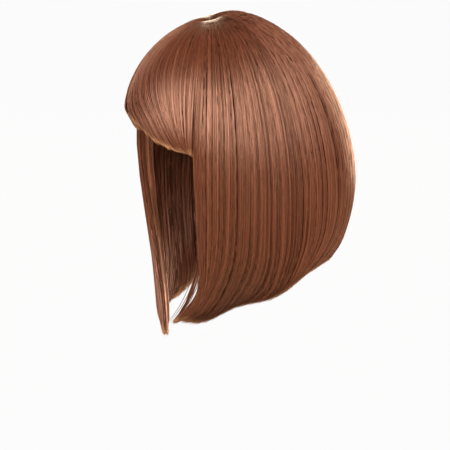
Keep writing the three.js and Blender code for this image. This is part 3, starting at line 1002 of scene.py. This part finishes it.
FLOOR_LEVEL = -0.465
FLOOR_SIZE = 40.0
WORLD_STRENGTH = 0.9
FAR_LIGHT_START = 0.55  # shares of the way round from the camera's side to the far side
FAR_LIGHT_FULL = 0.8
SOFTBOX_DISTANCE = 2.2
FLOOR_FINISH = {
    "Base Color": (0.002, 0.002, 0.002, 1),
    "Roughness": 0.9,
    "Specular IOR Level": 0.0,
    "Emission Color": (1, 1, 1, 1),
    "Emission Strength": 0.965,
}
FLOOR_THROWN = (0.22, 0.2, 0.17, 1)
WALL_SEEN = (0.985, 0.985, 0.985, 1)
WHITE = (1.0, 1.0, 1.0)
WARM = (1.0, 0.87, 0.68)
SOFTBOXES = [
    {"name": "right key", "turn": 105, "rise": 28, "width": 2.2, "height": 1.3, "power": 42,
     "colour": WHITE},
    {"name": "key", "turn": 60, "rise": 28, "width": 2.2, "height": 1.3, "power": 100,
     "colour": WHITE},
    {"name": "left key", "turn": 10, "rise": 24, "width": 2.2, "height": 1.4, "power": 50,
     "colour": WHITE},
    {"name": "low key", "turn": 65, "rise": 4, "width": 1.2, "height": 1.0, "power": 9,
     "colour": WARM},
    {"name": "right rim", "turn": 178, "rise": 12, "width": 1.2, "height": 1.6, "power": 110,
     "colour": WARM},
    {"name": "left rim", "turn": 278, "rise": 22, "width": 1.2, "height": 1.2, "power": 90,
     "colour": WARM},
    {"name": "top rim", "turn": 222, "rise": 28, "width": 1.4, "height": 1.0, "power": 130,
     "colour": WARM},
]


def add_floor():
    """A pale floor, which throws less light back up than it shows."""
    deselect_all()
    bpy.ops.mesh.primitive_plane_add(size=FLOOR_SIZE, location=(0, 0, FLOOR_LEVEL))
    floor = bpy.context.active_object
    floor.name = "floor"
    material, nodes, links = new_material("pale floor")
    seen = nodes["Principled BSDF"]
    give(seen, FLOOR_FINISH)
    thrown = nodes.new("ShaderNodeBsdfDiffuse")
    thrown.inputs["Color"].default_value = FLOOR_THROWN
    path = nodes.new("ShaderNodeLightPath")
    both = nodes.new("ShaderNodeMixShader")
    links.new(path.outputs["Is Camera Ray"], both.inputs["Fac"])
    links.new(thrown.outputs["BSDF"], both.inputs[1])
    links.new(seen.outputs["BSDF"], both.inputs[2])
    links.new(both.outputs["Shader"], nodes["Material Output"].inputs["Surface"])
    floor.data.materials.append(material)


def add_softbox(name, turn, rise, width, height, power, colour):
    """A rectangular light that faces the middle of the hair from a turn and a rise."""
    light = bpy.data.lights.new(name, "AREA")
    light.shape = "RECTANGLE"
    light.size = width
    light.size_y = height
    light.energy = power
    light.color = colour
    item = bpy.data.objects.new(name, light)
    towards = direction(turn, rise)
    item.location = Vector(CAMERA_TARGET) + towards * SOFTBOX_DISTANCE
    item.rotation_mode = "QUATERNION"
    item.rotation_quaternion = (-towards).to_track_quat("-Z", "Y")
    bpy.context.scene.collection.objects.link(item)


def add_surroundings():
    """Surroundings that look white and throw a warm light from the far side."""
    world = bpy.data.worlds.new("studio")
    bpy.context.scene.world = world
    world.use_nodes = True
    nodes = world.node_tree.nodes
    links = world.node_tree.links
    place = nodes.new("ShaderNodeTexCoord")
    towards = nodes.new("ShaderNodeVectorMath")
    towards.operation = "DOT_PRODUCT"
    towards.inputs[1].default_value = -direction(CAMERA_TURN, 0)
    spread = nodes.new("ShaderNodeMapRange")
    spread.inputs["From Min"].default_value = -1.0
    ramp = two_tones(nodes, FAR_LIGHT_START, (0, 0, 0, 1), FAR_LIGHT_FULL, (*WARM, 1))
    shone = nodes.new("ShaderNodeBackground")
    shone.inputs["Strength"].default_value = WORLD_STRENGTH
    path = nodes.new("ShaderNodeLightPath")
    both = nodes.new("ShaderNodeMixShader")
    links.new(place.outputs["Generated"], towards.inputs[0])
    links.new(towards.outputs["Value"], spread.inputs["Value"])
    links.new(spread.outputs["Result"], ramp.inputs["Fac"])
    links.new(ramp.outputs["Color"], shone.inputs["Color"])
    nodes["Background"].inputs["Color"].default_value = WALL_SEEN
    links.new(path.outputs["Is Camera Ray"], both.inputs["Fac"])
    links.new(shone.outputs["Background"], both.inputs[1])
    links.new(nodes["Background"].outputs["Background"], both.inputs[2])
    links.new(both.outputs["Shader"], nodes["World Output"].inputs["Surface"])


def main():
    """Builds the wig section by section, then the floor, the surroundings and the lights."""
    bpy.context.scene.view_settings.view_transform = "Standard"
    strands_finish = strand_material()
    bed_finish = bed_material()
    add_cap()
    add_patch()
    for section in SECTIONS:
        bed = hair_bed(section)
        bed.data.materials.append(bed_finish)
        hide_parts(section.node)
        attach(bed, "root")
        layers = [UNDER_STRANDS, OVER_STRANDS, INNER_STRANDS, HEM_STRANDS]
        if section.free_edge is not None:
            layers.append(EDGE_STRANDS)
        for layer in layers:
            strands = strand_layer(section, layer)
            strands.data.materials.append(strands_finish)
            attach(strands, "root")
    add_floor()
    add_surroundings()
    for light in SOFTBOXES:
        add_softbox(**light)
    bpy.context.view_layer.update()


main()
